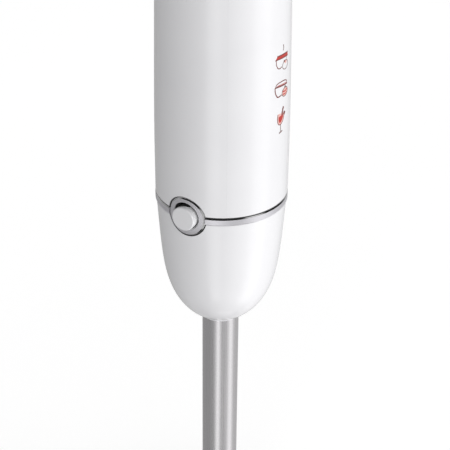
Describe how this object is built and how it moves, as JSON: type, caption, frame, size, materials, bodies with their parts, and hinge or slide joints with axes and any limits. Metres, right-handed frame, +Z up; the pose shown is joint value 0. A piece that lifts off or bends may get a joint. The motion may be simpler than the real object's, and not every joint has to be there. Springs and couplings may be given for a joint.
{
  "type": "immersion blender",
  "caption": "Tall round hand blender: white motor unit with a satin ring and side release buttons, tapered white nose, brushed steel leg and a vented bell guard over the blade.",
  "frame": {"origin": "centre of the circle of the bell guard's rim, in the plane the rim stands on", "axes": "+Z up along the drive shaft to the speed dial; the push buttons face -Y; the release buttons are at -X and +X"},
  "size_m": [0.0658, 0.0658, 0.3967],
  "materials": {
    "white_gloss": "glossy, faintly pearly",
    "satin_trim": "satin",
    "brushed_steel": "brushed along its length",
    "blade_steel": "ground",
    "plain_steel": "bright turned or plated",
    "grey_soft": "soft touch",
    "black_rubber": "matt",
    "grey_plastic": "moulded, matt",
    "black_plastic": "moulded, matt",
    "bronze": "sintered",
    "lamination": "stacked sheet",
    "copper": "wound or turned",
    "carbon": "pressed graphite",
    "board_green": "lacquered",
    "cast_aluminium": "cast or extruded"
  },
  "bodies": {
    "blending_leg": {"bell_guard": "brushed_steel", "shaft_tube": "brushed_steel", "nose_shell": "white_gloss", "leg_core": "grey_plastic", "nose_gasket": "grey_soft", "upper_bush": "bronze", "lower_bush": "bronze", "shaft_seal": "black_rubber"},
    "blade_shaft": {"blade": "blade_steel", "drive_shaft": "plain_steel", "blade_collar": "blade_steel", "blade_nut": "blade_steel", "leg_coupling": "black_plastic"},
    "motor_unit": {"rear_shell": "white_gloss", "front_panel": "white_gloss", "top_cap": "white_gloss", "button_bezel": "grey_soft", "trim_ring": "satin_trim", "chassis": "grey_plastic", "cord_gland": "black_rubber", "chassis_screw_front": "plain_steel", "chassis_screw_rear": "plain_steel", "cap_screw_left": "plain_steel", "cap_screw_right": "plain_steel", "motor_bolt_front": "plain_steel", "motor_bolt_rear": "plain_steel", "stator_core": "lamination", "field_coil_left": "copper", "field_coil_right": "copper", "upper_bracket": "cast_aluminium", "lower_bearing": "plain_steel", "upper_bearing": "plain_steel", "brush_holder_front": "black_plastic", "brush_holder_rear": "black_plastic", "carbon_brush_front": "carbon", "carbon_brush_rear": "carbon", "power_switch": "black_plastic", "turbo_switch": "black_plastic", "control_board": "board_green", "suppressor_capacitor": "grey_plastic", "triac_heatsink": "cast_aluminium", "speed_pot": "grey_plastic", "release_spring_left": "plain_steel", "release_spring_right": "plain_steel", "power_spring": "plain_steel", "turbo_spring": "plain_steel"},
    "rotor": {"armature_core": "lamination", "motor_shaft": "plain_steel", "armature_winding": "copper", "commutator": "copper", "cooling_fan": "black_plastic", "motor_coupling": "black_plastic"},
    "release_left": {"release_button_left": "white_gloss", "latch_left": "black_plastic"},
    "release_right": {"release_button_right": "white_gloss", "latch_right": "black_plastic"},
    "power": {"power_button": "grey_soft"},
    "turbo": {"turbo_button": "grey_soft"},
    "dial": {"speed_dial": "satin_trim", "dial_spindle": "plain_steel"}
  },
  "joints": [
    {"name": "unit_release", "type": "slide", "parent": "blending_leg", "child": "motor_unit", "axis": [0, 0, 1], "range_m": [0, 0.045]},
    {"name": "blade_spin", "type": "hinge", "parent": "blending_leg", "child": "blade_shaft", "pos_m": [0, 0, 0.1], "axis": [0, 0, 1], "continuous": true},
    {"name": "rotor_spin", "type": "hinge", "parent": "motor_unit", "child": "rotor", "pos_m": [0, 0, 0.25], "axis": [0, 0, 1], "continuous": true},
    {"name": "release_left_press", "type": "slide", "parent": "motor_unit", "child": "release_left", "axis": [1, 0, 0], "range_m": [0, 0.002], "stiffness_N_per_m": 400, "springref_m": -0.002, "deforming": ["release_spring_left"]},
    {"name": "release_right_press", "type": "slide", "parent": "motor_unit", "child": "release_right", "axis": [-1, 0, 0], "range_m": [0, 0.002], "stiffness_N_per_m": 400, "springref_m": -0.002, "deforming": ["release_spring_right"]},
    {"name": "power_press", "type": "slide", "parent": "motor_unit", "child": "power", "axis": [0, 1, 0], "range_m": [0, 0.0018], "stiffness_N_per_m": 400, "springref_m": -0.002, "deforming": ["power_spring"]},
    {"name": "turbo_press", "type": "slide", "parent": "motor_unit", "child": "turbo", "axis": [0, 1, 0], "range_m": [0, 0.0018], "stiffness_N_per_m": 400, "springref_m": -0.002, "deforming": ["turbo_spring"]},
    {"name": "dial_turn", "type": "hinge", "parent": "motor_unit", "child": "dial", "pos_m": [0, 0, 0.39], "axis": [0, 0, 1], "range_deg": [-135, 135]}
  ],
  "couplings": [
    {"joint": "blade_spin", "follows": "rotor_spin", "ratio": 1}
  ]
}
